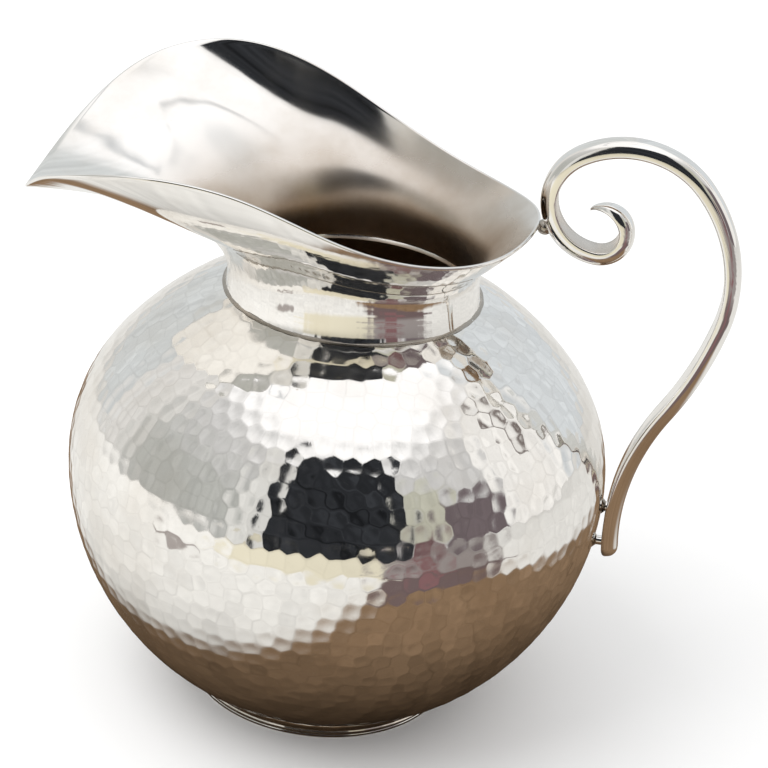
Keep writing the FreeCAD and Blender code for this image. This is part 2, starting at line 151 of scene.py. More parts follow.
def make_object(name, points, faces, material, replaces, sharp=50, shades=None):
    """A closed smooth piece that rides on the pitcher and stands for CAD nodes. Edges sharper than an angle
    in degrees stay crisp. Shades are values at its vertices that its material reads: patina, and the ridges
    between hammer marks, where the material paints shade."""
    mesh = bpy.data.meshes.new(name)
    mesh.from_pydata([tuple(p) for p in points], [], faces)
    for shade, values in (shades or {}).items():
        layer = mesh.attributes.new(shade, "FLOAT", "POINT")
        layer.data.foreach_set("value", np.array(values, dtype=np.float32))
    bm = bmesh.new()
    bm.from_mesh(mesh)
    bmesh.ops.recalc_face_normals(bm, faces=bm.faces)
    bm.to_mesh(mesh)
    bm.free()
    mesh.shade_smooth()
    mesh.set_sharp_from_angle(angle=math.radians(sharp))
    mesh.materials.append(material)
    piece = bpy.data.objects.new(name, mesh)
    bpy.context.scene.collection.objects.link(piece)
    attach(piece, "root")
    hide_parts(*replaces)
    return piece


def zip_loops(points, first, second):
    """Triangles between two rings of vertices around the axis, each given in any order."""
    def around(ring):
        ring = sorted(ring, key=lambda i: math.atan2(points[i][1], points[i][0]))
        return ring, [math.atan2(points[i][1], points[i][0]) for i in ring]

    (a, a_angle), (b, b_angle) = around(first), around(second)
    faces = []
    i = j = 0
    while i < len(a) or j < len(b):
        next_a = a_angle[i + 1] if i + 1 < len(a) else a_angle[0] + math.tau if i < len(a) else math.inf
        next_b = b_angle[j + 1] if j + 1 < len(b) else b_angle[0] + math.tau if j < len(b) else math.inf
        if next_a <= next_b:
            faces.append((a[i % len(a)], a[(i + 1) % len(a)], b[j % len(b)]))
            i += 1
        else:
            faces.append((a[i % len(a)], b[(j + 1) % len(b)], b[j % len(b)]))
            j += 1
    return faces


def grid_faces(rows, columns, start=0, closed_rows=False):
    """Quads of a grid whose rows run round a ring."""
    faces = []
    for row in range(rows if closed_rows else rows - 1):
        low, high = start + row * columns, start + (row + 1) % rows * columns
        for column in range(columns):
            right = (column + 1) % columns
            faces.append((low + column, low + right, high + right, high + column))
    return faces


def lathe(profile, wobble=0.0):
    """Vertices and quads of a closed (r, z) outline turned about the axis, with an uneven radius."""
    around = 288
    points = []
    for r, z in profile:
        for angle in np.linspace(0, math.tau, around, endpoint=False):
            radius = r + wobble * math.sin(angle * 17 + 3 * math.sin(angle * 5))
            points.append((radius * math.cos(angle), radius * math.sin(angle), z))
    return points, grid_faces(len(profile), around, closed_rows=True)


def arc_points(centre, radius, start, end, spacing):
    """Evenly spaced places along an arc, between two angles."""
    count = max(3, int(abs(end - start) * radius / spacing) + 1)
    angles = np.linspace(start, end, count)
    return np.column_stack((centre[0] + radius * np.cos(angles), centre[1] + radius * np.sin(angles)))


def ripple(value, phase):
    """Uneven folds between -1 and 1."""
    return (np.sin(value + phase) + np.sin(2.3 * value + 2 * phase) + np.sin(4.1 * value + 3 * phase)) / 3


# ---------------------------------------------------------------- hammered bowl

def base_bend_centre():
    """Radius and height of the middle of the bend between the bottom and the side."""
    height = BASE + BASE_BEND
    return math.sqrt((BOWL_RADIUS - BASE_BEND) ** 2 - (SEAM - height) ** 2), height


def crown_radius():
    """Radius of the ball that the top of the bowl is part of."""
    return ((BOWL_RADIUS - SHOULDER_BEND) ** 2 + CROWN_RISE ** 2 - SHOULDER_BEND ** 2) / (
        2 * (CROWN_RISE - SHOULDER_BEND))


def crown_centre():
    """Height of the middle of that ball."""
    return SEAM + CROWN_RISE - crown_radius()


class Course:
    """The outline of the bowl from the middle of its bottom to the edge of its mouth, by distance."""

    def __init__(self, spacing=0.1 * MM):
        corner = base_bend_centre()
        leave = math.atan2(corner[1] - SEAM, corner[0])
        shoulder = (BOWL_RADIUS - SHOULDER_BEND, SEAM)
        crown, top = crown_radius(), (0.0, crown_centre())
        meet = math.atan2(shoulder[1] - top[1], shoulder[0])
        bottom = np.arange(0, corner[0], spacing)
        runs = [
            np.column_stack((bottom, np.full(len(bottom), BASE))),
            arc_points(corner, BASE_BEND, -math.pi / 2, leave, spacing),
            arc_points((0.0, SEAM), BOWL_RADIUS, leave, 0.0, spacing)[1:],
            arc_points(shoulder, SHOULDER_BEND, 0.0, meet, spacing)[1:],
            arc_points(top, crown, meet, math.acos(MOUTH_RADIUS / crown), spacing)[1:],
        ]
        self.points = np.vstack(runs)
        steps = np.linalg.norm(np.diff(self.points, axis=0), axis=1)
        self.distance = np.concatenate(([0.0], np.cumsum(steps)))
        tangent = np.gradient(self.points, self.distance, axis=0)
        tangent /= np.linalg.norm(tangent, axis=1)[:, None]
        self.normals = np.column_stack((tangent[:, 1], -tangent[:, 0]))
        # spread is the logarithm of the radius of the flat map that keeps angles true
        radius = self.points[:, 0]
        growth = np.zeros(len(radius))
        growth[2:] = np.cumsum(steps[1:] * 2 / (radius[1:-1] + radius[2:]))
        self.spread = growth + math.log(radius[1])
        self.length = self.distance[-1]

    def at(self, distance):
        """Radius, height, and outward normal at a distance along the outline."""
        columns = (self.points[:, 0], self.points[:, 1], self.normals[:, 0], self.normals[:, 1])
        return [np.interp(distance, self.distance, column) for column in columns]

    def map_radius(self, distance):
        """Radius on the flat map, also for places a little beyond the mouth."""
        inside = np.interp(distance, self.distance, self.spread)
        beyond = max(0.0, distance - self.length) / self.points[-1, 0]
        return math.exp(inside + beyond)


def strike_places(course):
    """Middles of the hammer marks on the flat map, in rings as the smith works round, and the number that
    lie on the bowl. The last ring lies beyond the mouth and only bounds the others."""
    rows = round(course.length / (HAMMER_PITCH * RING_STEP))
    step = course.length / (rows - 0.5)
    places = [(0.0, 0.0)]
    turn = 0.0
    for row in range(1, rows + 1):
        radius = float(course.at(min(row * step, course.length))[0])
        count = max(6, round(math.tau * radius / HAMMER_PITCH))
        turn += math.pi / count + rng.uniform(-0.02, 0.02)
        last = row == rows
        for number in range(count):
            aside = 0.0 if last else rng.gauss(0, STRAY_ASIDE) * HAMMER_PITCH
            along = 0.0 if last else rng.gauss(0, STRAY_ALONG) * HAMMER_PITCH
            limit = STRAY_LIMIT * HAMMER_PITCH
            distance = row * step + max(-limit, min(limit, along))
            angle = turn + math.tau * number / count + aside / radius
            rho = course.map_radius(distance)
            places.append((rho * math.cos(angle), rho * math.sin(angle)))
        if row == rows - 1:
            on_bowl = len(places)
    return places, on_bowl


def circumcentre(a, b, c):
    """The place on the flat map that is as far from each of three others."""
    d = 2 * (a[0] * (b[1] - c[1]) + b[0] * (c[1] - a[1]) + c[0] * (a[1] - b[1]))
    sa, sb, sc = (p[0] ** 2 + p[1] ** 2 for p in (a, b, c))
    return ((sa * (b[1] - c[1]) + sb * (c[1] - a[1]) + sc * (a[1] - b[1])) / d,
            (sa * (c[0] - b[0]) + sb * (a[0] - c[0]) + sc * (b[0] - a[0])) / d)


def hammered_skin(course):
    """The outside of the whole bowl: one shallow hollow for each hammer mark, with a ridge between
    neighbours. Returns vertices, faces, and 1 for each vertex on a ridge or 0 for the others."""
    places, on_bowl = strike_places(course)
    _, _, triangles, origins, _, _ = delaunay_2d_cdt([Vector(p) for p in places], [], [], 0, 1e-12)
    triangles = [tuple(origins[v][0] for v in triangle) for triangle in triangles]
    mouth = course.map_radius(course.length)
    flat = []          # places on the map
    depth = []         # below the plain outline
    ridge_share = []
    edge_of_bowl = set()

    def scale_at(rho):
        """Real distance for one unit of the map at a radius of the map."""
        distance = np.interp(math.log(max(rho, 1e-9)), course.spread, course.distance)
        return max(float(course.at(distance)[0]), 1e-6) / max(rho, 1e-9)

    def hollow(x, y, seed, weight):
        """Depth of a round hollow at a place near its middle."""
        between = math.hypot((x + seed[0]) / 2, (y + seed[1]) / 2)
        reach = math.hypot(x - seed[0], y - seed[1]) * scale_at(between)
        fall = (reach / (HAMMER_PITCH / 2)) ** 2 * HOLLOW_CURVE
        return max(0.0, HOLLOW_MIDDLE * weight - fall) * HAMMER_DEPTH

    def ridge_vertex(x, y, seed):
        """Add a vertex on the ridge round a mark."""
        flat.append((x, y))
        depth.append(hollow(x, y, seed, 1.0) + RIDGE_ROUNDING * HAMMER_DEPTH)
        ridge_share.append(1.0)
        return len(flat) - 1

    corner = {}
    cells = {}
    for number, triangle in enumerate(triangles):
        if not any(v < on_bowl for v in triangle):
            continue
        x, y = circumcentre(*(places[v] for v in triangle))
        rho = math.hypot(x, y)
        beyond = any(v >= on_bowl for v in triangle)
        if beyond or rho > mouth:
            x, y = x * mouth / rho, y * mouth / rho
        seed = places[min(triangle)]
        corner[number] = ridge_vertex(x, y, seed)
        if beyond or rho > mouth:
            edge_of_bowl.add(corner[number])
        for v in triangle:
            if v < on_bowl:
                cells.setdefault(v, []).append(number)

    ridges = {}

    def ridge(a, b, seed):
        """Vertices along the ridge from corner a towards corner b, without b."""
        key = (min(a, b), max(a, b))
        if key not in ridges:
            start, end = (flat[corner[k]] for k in key)
            length = math.dist(start, end) * scale_at(math.hypot(*start))
            parts = max(1, round(length / (HAMMER_PITCH * RIDGE_PART)))
            inner = []
            for part in range(1, parts):
                share = part / parts
                x, y = (s + (e - s) * share for s, e in zip(start, end))
                both = corner[key[0]] in edge_of_bowl and corner[key[1]] in edge_of_bowl
                if both:
                    grow = mouth / math.hypot(x, y)
                    x, y = x * grow, y * grow
                inner.append(ridge_vertex(x, y, seed))
                if both:
                    edge_of_bowl.add(inner[-1])
            ridges[key] = inner
        inner = ridges[key]
        return [corner[a]] + (inner if a < b else inner[::-1])

    faces = []
    for seed_number, numbers in cells.items():
        seed = places[seed_number]
        numbers.sort(key=lambda k: math.atan2(flat[corner[k]][1] - seed[1], flat[corner[k]][0] - seed[0]))
        rim = []
        for first, second in zip(numbers, numbers[1:] + numbers[:1]):
            rim += ridge(first, second, seed)
        weight = rng.uniform(0.9, 1.15)
        outer = rim
        for share in HOLLOW_RINGS:
            ring = []
            for v in rim:
                flat.append(tuple(s + (e - s) * share for s, e in zip(seed, flat[v])))
                depth.append(hollow(*flat[-1], seed, 1 + (weight - 1) * (1 - share)))
                ridge_share.append(0.0)
                ring.append(len(flat) - 1)
            for k in range(len(rim)):
                after = (k + 1) % len(rim)
                faces.append((outer[k], outer[after], ring[after], ring[k]))
            outer = ring
        flat.append(seed)
        depth.append(hollow(*seed, seed, weight))
        ridge_share.append(0.0)
        for k in range(len(rim)):
            faces.append((outer[k], outer[(k + 1) % len(rim)], len(flat) - 1))

    flat = np.array(flat)
    depth = np.array(depth)
    rho = np.maximum(np.hypot(flat[:, 0], flat[:, 1]), 1e-9)
    distance = np.interp(np.log(rho), course.spread, course.distance)
    distance = np.where(rho < math.exp(course.spread[1]), rho, distance)
    r, z, normal_r, normal_z = course.at(distance)
    angle = np.arctan2(flat[:, 1], flat[:, 0])
    underside = np.clip((distance - BASE_EDGE) / BASE_FADE, BASE_DEPTH, 1.0)
    wave = 0.5 + 0.5 * np.sin(3 * angle + 40 * z) * np.sin(60 * z + 2 * angle + 1.0)
    sink = depth * underside + WAVE_DEPTH * wave * np.clip((r - FOOT_NECK_RADIUS) / WAVE_FADE, 0, 1)
    r = r - normal_r * sink
    z = z - normal_z * sink
    points = np.column_stack((r * np.cos(angle), r * np.sin(angle), z))
    return points, faces, ridge_share


def bowl_half(name, skin, course, upper, material, columns=192, rows=56):
    """Cut the hammered skin at the seam, add the inside as a grid and close the edges."""
    points, faces, ridge_share = skin
    bm = bmesh.new()
    layer = bm.verts.layers.float.new("ridge")
    vertices = [bm.verts.new(p) for p in points]
    for vertex, share in zip(vertices, ridge_share):
        vertex[layer] = share
    for face in faces:
        bm.faces.new([vertices[i] for i in face])
    everything = list(bm.verts) + list(bm.edges) + list(bm.faces)
    bmesh.ops.bisect_plane(bm, geom=everything, dist=1e-7, plane_co=(0, 0, SEAM), plane_no=(0, 0, 1),
                           clear_inner=upper, clear_outer=not upper)
    bm.verts.index_update()
    loops = [v.index for v in bm.verts if any(e.is_boundary for e in v.link_edges)]
    points = [tuple(v.co) for v in bm.verts]
    ridge_share = [v[layer] for v in bm.verts]
    faces = [tuple(v.index for v in f.verts) for f in bm.faces]
    bm.free()
    at_seam = [i for i in loops if abs(points[i][2] - SEAM) < 1e-6]
    at_mouth = [i for i in loops if abs(points[i][2] - SEAM) >= 1e-6]

    seam_distance = course.distance[int(np.argmin(np.abs(course.points[:, 1] - SEAM)))]
    start, end = (seam_distance, course.length) if upper else (0.35 * MM, seam_distance)
    first = len(points)
    inner = []
    for row in range(rows):
        distance = start + (end - start) * row / (rows - 1)
        r, z, normal_r, normal_z = (float(v) for v in course.at(distance))
        if row == (0 if upper else rows - 1):
            normal_r, normal_z = 1.0, 0.0
        for column in range(columns):
            angle = math.tau * column / columns
            dent = INSIDE_DENT * math.sin(angle * 44 + row * 1.7) * math.sin(row * 1.1 + angle * 3)
            wall = BOWL_WALL + (0.0 if row in (0, rows - 1) else dent)
            radius = r - normal_r * wall
            inner.append((radius * math.cos(angle), radius * math.sin(angle), z - normal_z * wall))
    points += inner
    faces += grid_faces(rows, columns, start=first)
    ring_low = list(range(first, first + columns))
    ring_high = list(range(first + (rows - 1) * columns, first + rows * columns))
    if upper:
        faces += zip_loops(points, at_seam, ring_low)
        faces += zip_loops(points, at_mouth, ring_high)
    else:
        faces += zip_loops(points, at_seam, ring_high)
        points.append((0.0, 0.0, BASE + BOWL_WALL))
        for column in range(columns):
            faces.append((ring_low[column], ring_low[(column + 1) % columns], len(points) - 1))
    added = len(points) - first
    shades = {"ridge": ridge_share + [0.0] * added, "patina": [0.0] * first + [1.0] * added}
    node = "bowl_upper_half" if upper else "bowl_lower_half"
    return make_object(name, points, faces, material, [node], shades=shades)


# ---------------------------------------------------------------- neck and lip

def periodic_spline(knots, period, values, at):
    """Cubic curve through the values at the knots, smooth all the way round, read at some places."""
    count = len(knots)
    gaps = np.diff(np.append(knots, period))
    system = np.zeros((count, count))
    right = np.zeros((count, values.shape[1]))
    for i in range(count):
        before, after = gaps[i - 1], gaps[i]
        system[i, i - 1] += before
        system[i, i] += 2 * (before + after)
        system[i, (i + 1) % count] += after
        rise_after = (values[(i + 1) % count] - values[i]) / after
        right[i] = 6 * (rise_after - (values[i] - values[i - 1]) / before)
    bend = np.linalg.solve(system, right)
    index = np.clip(np.searchsorted(knots, at, side="right") - 1, 0, count - 1)
    following = (index + 1) % count
    gap = gaps[index][:, None]
    t = (at - knots[index])[:, None]
    s = gap - t
    curved = (bend[index] * s ** 3 + bend[following] * t ** 3) / (6 * gap)
    return (curved + (values[index] / gap - bend[index] * gap / 6) * s
            + (values[following] / gap - bend[following] * gap / 6) * t)


def lip_rows():
    """Rows of places on the outer skin, from the lower edge of the neck to the edge of the lip."""
    mirrored = [(x, -y, z, slope, -turn) for x, y, z, slope, turn in LIP_STATIONS[-2:0:-1]]
    rows = [[] for _ in range(5)]
    for x, y, z, slope, turn in LIP_STATIONS + mirrored:
        outward = Vector((math.cos(math.radians(turn)), math.sin(math.radians(turn)), 0))
        waist = outward * NECK_RADIUS + Vector((0, 0, NECK_WAIST))
        edge = Vector((x, y, z)) * MM
        away = Vector((edge.x - waist.x, edge.y - waist.y, 0)).normalized()
        slope = math.radians(slope)
        along = away * math.cos(slope) + Vector((0, 0, math.sin(slope)))
        flare = edge - along * (edge - waist).length * FLARE_REACH
        side = abs(outward.y)
        rise = (flare.z - waist.z) * (THROAT_LIFT + SIDE_LIFT * side) + THROAT_RISE
        lean = Vector((flare.x - waist.x, flare.y - waist.y, 0)) * THROAT_LEAN * (1 - SIDE_UPRIGHT * side)
        throat = waist + lean + Vector((0, 0, rise))
        low = outward * NECK_SPREAD + Vector((0, 0, NECK_START))
        for row, point in zip(rows, (low, waist, throat, flare, edge)):
            row.append(point)
    return np.array(rows)


def bezier_pair(poles, t):
    """Cubic spline with five poles and one knot in the middle, at places from 0 to 1."""
    knots = np.array([0, 0, 0, 0, 0.5, 1, 1, 1, 1.0])
    t = np.clip(t, 0, 1 - 1e-9)
    basis = [((t >= knots[i]) & (t < knots[i + 1])).astype(float) for i in range(8)]
    for degree in (1, 2, 3):
        raised = []
        for i in range(8 - degree):
            left = knots[i + degree] - knots[i]
            right = knots[i + degree + 1] - knots[i + 1]
            value = np.zeros_like(t)
            if left > 0:
                value = value + (t - knots[i]) / left * basis[i]
            if right > 0:
                value = value + (knots[i + degree + 1] - t) / right * basis[i + 1]
            raised.append(value)
        basis = raised
    return np.einsum("ip,i...->p...", np.array(basis), poles)


def make_neck_and_lip(material, around=432, up=72):
    """The sheet of the neck, throat and lip, with a rounded edge."""
    rows = lip_rows()
    edge = rows[-1]
    lengths = np.linalg.norm(np.diff(np.vstack((edge, edge[:1])), axis=0), axis=1)
    knots = np.concatenate(([0.0], np.cumsum(lengths)[:-1]))
    period = lengths.sum()
    places = np.linspace(0, period, around, endpoint=False)
    poles = np.array([periodic_spline(knots, period, row, places) for row in rows])
    skin = bezier_pair(poles, np.linspace(0, 1, up * 4))

    def normals_of(surface):
        """Unit vectors square to the sheet, all to one side of it."""
        up_way = np.gradient(surface, axis=0)
        round_way = (np.roll(surface, -1, axis=1) - np.roll(surface, 1, axis=1)) / 2
        normal = np.cross(round_way, up_way)
        return normal / np.linalg.norm(normal, axis=2)[:, :, None]

    outward = normals_of(skin)
    if outward[0, 0, 0] < 0:
        outward = -outward
    inside = skin - outward * LIP_WALL
    angle = np.arctan2(skin[:, :, 1], skin[:, :, 0])
    fades = np.clip((NECK_MARKS_TOP - skin[:, :, 2]) / NECK_MARKS_FADE, 0, 1)
    marks = 0.5 + 0.5 * ripple(angle * 34 + skin[:, :, 2] * 60, 0.6)
    skin = skin - outward * (NECK_MARKS * fades * marks)[:, :, None]

    def trimmed(surface):
        """Columns from the place where they leave the ball under them to the edge, evenly spaced."""
        centre = np.array([0, 0, crown_centre()])
        reach = np.linalg.norm(surface - centre, axis=2) - crown_radius()
        result = np.zeros((up, surface.shape[1], 3))
        for column in range(surface.shape[1]):
            line = surface[:, column]
            out = reach[:, column]
            first = int(np.argmax(out > 0))
            begin = 0.0 if first == 0 else first - 1 - out[first - 1] / (out[first] - out[first - 1])
            index = np.linspace(begin, len(line) - 1, up)
            low = np.minimum(index.astype(int), len(line) - 2)
            part = (index - low)[:, None]
            result[:, column] = line[low] * (1 - part) + line[low + 1] * part
        return result

    outer, inner = trimmed(skin), trimmed(inside)
    end = outer[-1] - outer[-2]
    end /= np.linalg.norm(end, axis=1)[:, None]
    half = LIP_WALL / 2
    outer[-1] -= end * half
    inner[-1] -= end * half
    middle = (outer[-1] + inner[-1]) / 2
    across = outer[-1] - middle
    turns = np.linspace(0, math.pi, 7)[1:-1]
    rim = [middle + across * math.cos(turn) + end * half * math.sin(turn) for turn in turns]
    surface = np.concatenate((outer, np.array(rim), inner[::-1]))
    points = surface.reshape(-1, 3)
    faces = grid_faces(len(surface), around, closed_rows=True)
    inner_rows = np.arange(len(surface)) >= len(outer) + len(rim)
    patina = np.clip((PATINA_TOP - surface[:, :, 2]) / PATINA_FADE, 0, 1) * inner_rows[:, None]
    aside = np.hypot(surface[:, :, 0], surface[:, :, 1])
    patina = patina * np.clip((PATINA_REACH - aside) / PATINA_FADE_OUT + 1, 0, 1)
    return make_object("neck_and_lip_polished", points, faces, material,
                       ["neck_and_lip"], 60, {"patina": patina.ravel()})


# ---------------------------------------------------------------- foot and solder seams

def bowl_underside(radius):
    """Height of the bowl's outside where it bends up from its bottom."""
    corner = base_bend_centre()
    return corner[1] - math.sqrt(BASE_BEND ** 2 - (radius - corner[0]) ** 2)


def foot_sweep():
    """Middle and radius of the arc that the foot ring flares along."""
    top = bowl_underside(FOOT_NECK_RADIUS)
    across = FOOT_RADIUS - FOOT_NECK_RADIUS
    rise = top - FOOT_EDGE
    radius = (across ** 2 + rise ** 2) / (2 * across)
    return (FOOT_NECK_RADIUS + radius, top), radius


def make_foot(material):
    """A flared ring with rounded edges."""
    centre, radius = foot_sweep()
    top = bowl_underside(FOOT_NECK_RADIUS)
    lower = math.atan2(FOOT_EDGE - centre[1], FOOT_RADIUS - centre[0])
    sweep = arc_points(centre, radius, math.pi, math.tau + lower, 0.15 * MM)
    joint = FOOT_NECK_RADIUS - FOOT_JOINT_WIDTH
    outline = [(joint, bowl_underside(joint))] + [tuple(p) for p in sweep[:-1]]
    soft = FOOT_ROUNDING
    inner = FOOT_RADIUS - FOOT_REST_WIDTH
    for middle, start, end in (((FOOT_RADIUS - soft, FOOT_EDGE - soft * 0.6), math.pi * 0.42, 0),
                               ((FOOT_RADIUS - soft, soft), 0, -math.pi / 2),
                               ((inner + soft, soft), -math.pi / 2, -math.pi * 0.85)):
        outline += [tuple(p) for p in arc_points(middle, soft, start, end, 0.1 * MM)]
    points, faces = lathe(outline)
    return make_object("foot_ring_polished", points, faces, material, ["foot_ring"], 40)


def make_neck_seam(material):
    """A thin concave fillet of solder round the neck."""
    crown, centre = crown_radius(), crown_centre()
    far = NECK_SPREAD + SEAM_REACH
    low = (far, centre + math.sqrt(crown ** 2 - far ** 2))
    near_z = centre + math.sqrt(crown ** 2 - NECK_SPREAD ** 2)
    high = (NECK_SPREAD - 0.45 * MM, near_z + SEAM_REACH)
    root = (NECK_SPREAD - 0.75 * MM, near_z + 0.1 * MM)
    outline = []
    for share in np.linspace(0, 1, 7):
        sag = SEAM_SAG * math.sin(share * math.pi)
        outline.append((low[0] + (high[0] - low[0]) * share - sag * 0.7,
                        low[1] + (high[1] - low[1]) * share - sag * 0.7))
    points, faces = lathe(outline + [root], SEAM_WOBBLE)
    return make_object("neck_solder_fillet", points, faces, material,
                       ["neck_solder_seam"], 50)


# ---------------------------------------------------------------- handle

def handle_line(spacing=0.8 * MM):
    """Places and outward directions along the bend line."""
    def side_of(heading):
        return Vector((-math.sin(heading), 0, math.cos(heading)))

    point = HANDLE_TIP.copy()
    heading = math.radians(HANDLE_TIP_HEADING)
    side = side_of(heading)
    back = Vector((-math.cos(heading), 0, -math.sin(heading)))
    places = [(point + back * HANDLE_REACH * share - side * POINT_DROP * share ** 2, side)
              for share in (1.0, 0.66, 0.33)]
    for radius, turn in HANDLE_ARCS:
        turn = math.radians(turn)
        bend = math.copysign(radius * MM, turn)
        centre = point + side_of(heading) * bend
        steps = max(2, round(turn * bend / spacing))
        for step in range(steps):
            side = side_of(heading + turn * step / steps)
            places.append((centre - side * bend, side))
        heading += turn
        point = centre - side_of(heading) * bend
    places.append((point, side_of(heading)))
    return places


def handle_section():
    """Outline of the bar: a flat inner face with soft edges and a crowned outer face. Each entry is a place
    across and outwards from the bend line, and 1 for the inner face or 0 for the outer."""
    half, low, soft = HANDLE_WIDTH / 2, -HANDLE_INSET, HANDLE_SOFT
    high = HANDLE_FLAT - HANDLE_INSET + HANDLE_CROWN
    squareness = 0.80
    outline = [(side * (half - soft) * 0.98, low, 1.0) for side in (-1, 0, 1)]
    outline.append((half - soft * 0.30, low + soft * 0.30, 0.3))
    for angle in np.linspace(0.0, math.pi, 25):
        across, out = math.cos(angle), math.sin(angle)
        outline.append((half * math.copysign(abs(across) ** squareness, across),
                        low + soft + (high - low - soft) * out ** squareness, 0.0))
    outline.append((-half + soft * 0.30, low + soft * 0.30, 0.3))
    return outline


def make_handle(material):
    """The bar bent along its line. It tapers to a leaf-shaped point at the scroll and is rounded at the
    tail."""
    line = handle_line()
    section = handle_section()
    lengths = [0.0]
    for (a, _), (b, _) in zip(line, line[1:]):
        lengths.append(lengths[-1] + (b - a).length)
    total = lengths[-1]
    scroll = sum(radius * math.radians(abs(turn)) for radius, turn in HANDLE_ARCS[:3]) * MM
    points, patina = [], []
    for (place, side), length in zip(line, lengths):
        leaf = math.sin(min(1.0, length / LEAF_LENGTH) * math.pi / 2)
        swell = math.sin(min(1.0, length / SWELL_LENGTH) * math.pi / 2)
        tail = math.sqrt(max(0.02, 1 - max(0.0, 1 - (total - length) / TAIL_LENGTH) ** 2))
        wide = (0.06 + 0.94 * leaf) * tail
        thick = (0.10 + 0.45 * leaf + 0.45 * swell) * tail
        curl = min(1.0, max(0.0, (scroll - length) / CURL_FADE))
        for across, out, flat in section:
            points.append(place + Vector((0, across * wide, 0)) + side * out * thick)
            patina.append(CURL_PATINA * flat * curl)
    around = len(section)
    faces = grid_faces(len(line), around)
    points += [line[0][0], line[-1][0]]
    patina += [0.0, 0.0]
    last = (len(line) - 1) * around
    for k in range(around):
        after = (k + 1) % around
        faces.append((k, after, len(points) - 2))
        faces.append((last + k, last + after, len(points) - 1))
    return make_object("handle_scroll_forged", points, faces, material,
                       ["handle_scroll"], 60, {"patina": patina})


# ---------------------------------------------------------------- materials

class Looks:
    """A new material, with short ways to build its nodes. Each takes values or other nodes' outputs."""

    def __init__(self, name):
        self.material = bpy.data.materials.new(name)
        self.material.use_nodes = True
        self.tree = self.material.node_tree
        self.shader = self.tree.nodes["Principled BSDF"]

    def fill(self, node, values):
        for socket, value in values.items():
            if isinstance(value, bpy.types.NodeSocket):
                self.tree.links.new(value, node.inputs[socket])
            else:
                node.inputs[socket].default_value = value

    def add(self, kind, values, **settings):
        node = self.tree.nodes.new(kind)
        for setting, value in settings.items():
            setattr(node, setting, value)
        self.fill(node, values)
        return node.outputs

    def noise(self, vector, scale, detail, roughness=0.5):
        values = {"Vector": vector, "Scale": scale, "Detail": detail, "Roughness": roughness}
        return self.add("ShaderNodeTexNoise", values)["Fac"]

    def rescale(self, value, start, end, low, high):
        values = {"Value": value, "From Min": start, "From Max": end, "To Min": low, "To Max": high}
        return self.add("ShaderNodeMapRange", values)["Result"]

    def maths(self, operation, *values):
        return self.add("ShaderNodeMath", dict(enumerate(values)), operation=operation)["Value"]

    def blend(self, factor, first, second):
        values = {"Factor": factor, "A": first, "B": second}
        return self.add("ShaderNodeMix", values, data_type="RGBA")["Result"]

    def shade(self, name):
        """The values that a mesh carries at its vertices."""
        return self.add("ShaderNodeAttribute", {}, attribute_name=name)


PATINA_TINT = (0.38, 0.26, 0.15)     # silver that polishing never reaches, inside the pitcher
PATINA_CLOUDS = 0.65                 # its strength where it is thinnest
PATINA_DULLING = 1.8                 # how fast it takes the mirror away
RIDGE_PAINTED_SHADE = (0.50, 0.47, 0.43)      # painted shade: grey lines along the ridges between hammer marks
RIDGE_SHADE_AMOUNT = 0.12
DULL_ROUGHNESS = 0.30                # what full tarnish adds to the roughness
SCRATCH_SHARE = 0.05                 # wiping scratches beside the soft swell of the sheet
RELIEF_HEIGHT = 0.0004


def silver(name, bright, tarnish, roughness, tarnish_amount):
    """Polished silver: a mirror with faint tarnish in patches, dark pits and fine wiping scratches, and
    painted shade along the ridges between hammer marks.
    """
    looks = Looks(name)
    place = looks.add("ShaderNodeTexCoord", {})["Object"]
    patches = looks.noise(place, 28.0, 6.0, 0.6)
    pits = looks.noise(place, 420.0, 3.0, 0.7)
    tarnished = looks.maths("MAXIMUM", looks.rescale(patches, 0.48, 0.78, 0.0, tarnish_amount),
                            looks.rescale(pits, 0.70, 0.80, 0.0, 0.5))
    # Painted shade: the ridges between hammer marks are tinted grey, drawing the thin dark lines that
    # rounded ridges show when they mirror darker surroundings.
    ridge = looks.maths("MULTIPLY", looks.shade("ridge")["Fac"], RIDGE_SHADE_AMOUNT)
    patina = looks.maths("MULTIPLY", looks.shade("patina")["Fac"],
                         looks.rescale(patches, 0.35, 0.75, PATINA_CLOUDS, 1.0))
    colour = looks.blend(tarnished, (*bright, 1), (*tarnish, 1))
    colour = looks.blend(ridge, colour, (*RIDGE_PAINTED_SHADE, 1))
    colour = looks.blend(patina, colour, (*PATINA_TINT, 1))
    dull = looks.maths("MAXIMUM", tarnished, looks.maths("MULTIPLY", patina, PATINA_DULLING))

    wiping = {"Vector": place, "Scale": (300, 300, 40), "Rotation": (0.5, 0.3, 0.9)}
    scratches = looks.noise(looks.add("ShaderNodeMapping", wiping)["Vector"], 9.0, 2.0)
    relief = looks.maths("MULTIPLY_ADD", scratches, SCRATCH_SHARE, looks.noise(place, 90.0, 1.0))
    bump = {"Height": relief, "Strength": 0.12, "Distance": RELIEF_HEIGHT}
    looks.fill(looks.shader, {
        "Metallic": 1.0,
        "Base Color": colour,
        "Roughness": looks.rescale(dull, 0.0, 1.0, roughness, roughness + DULL_ROUGHNESS),
        "Normal": looks.add("ShaderNodeBump", bump)["Normal"],
    })
    return looks.material


# ---------------------------------------------------------------- studio

CAMERA_AZIMUTH = 7.0
CAMERA_ELEVATION = 28.0
CAMERA_ROLL = 5.2
CAMERA_DISTANCE = 0.8
CAMERA_LENS = 120.3
AIM = Vector((0, 0, 0.09))
AIM_OFFSET = (0.0134, 0.0122)     # how far right of and above that point the camera looks


def direction(azimuth, elevation):
    """From the pitcher towards a place around it. Azimuth 0 is in front, at -Y."""
    a, e = math.radians(azimuth), math.radians(elevation)
    return Vector((math.sin(a) * math.cos(e), -math.cos(a) * math.cos(e), math.sin(e)))


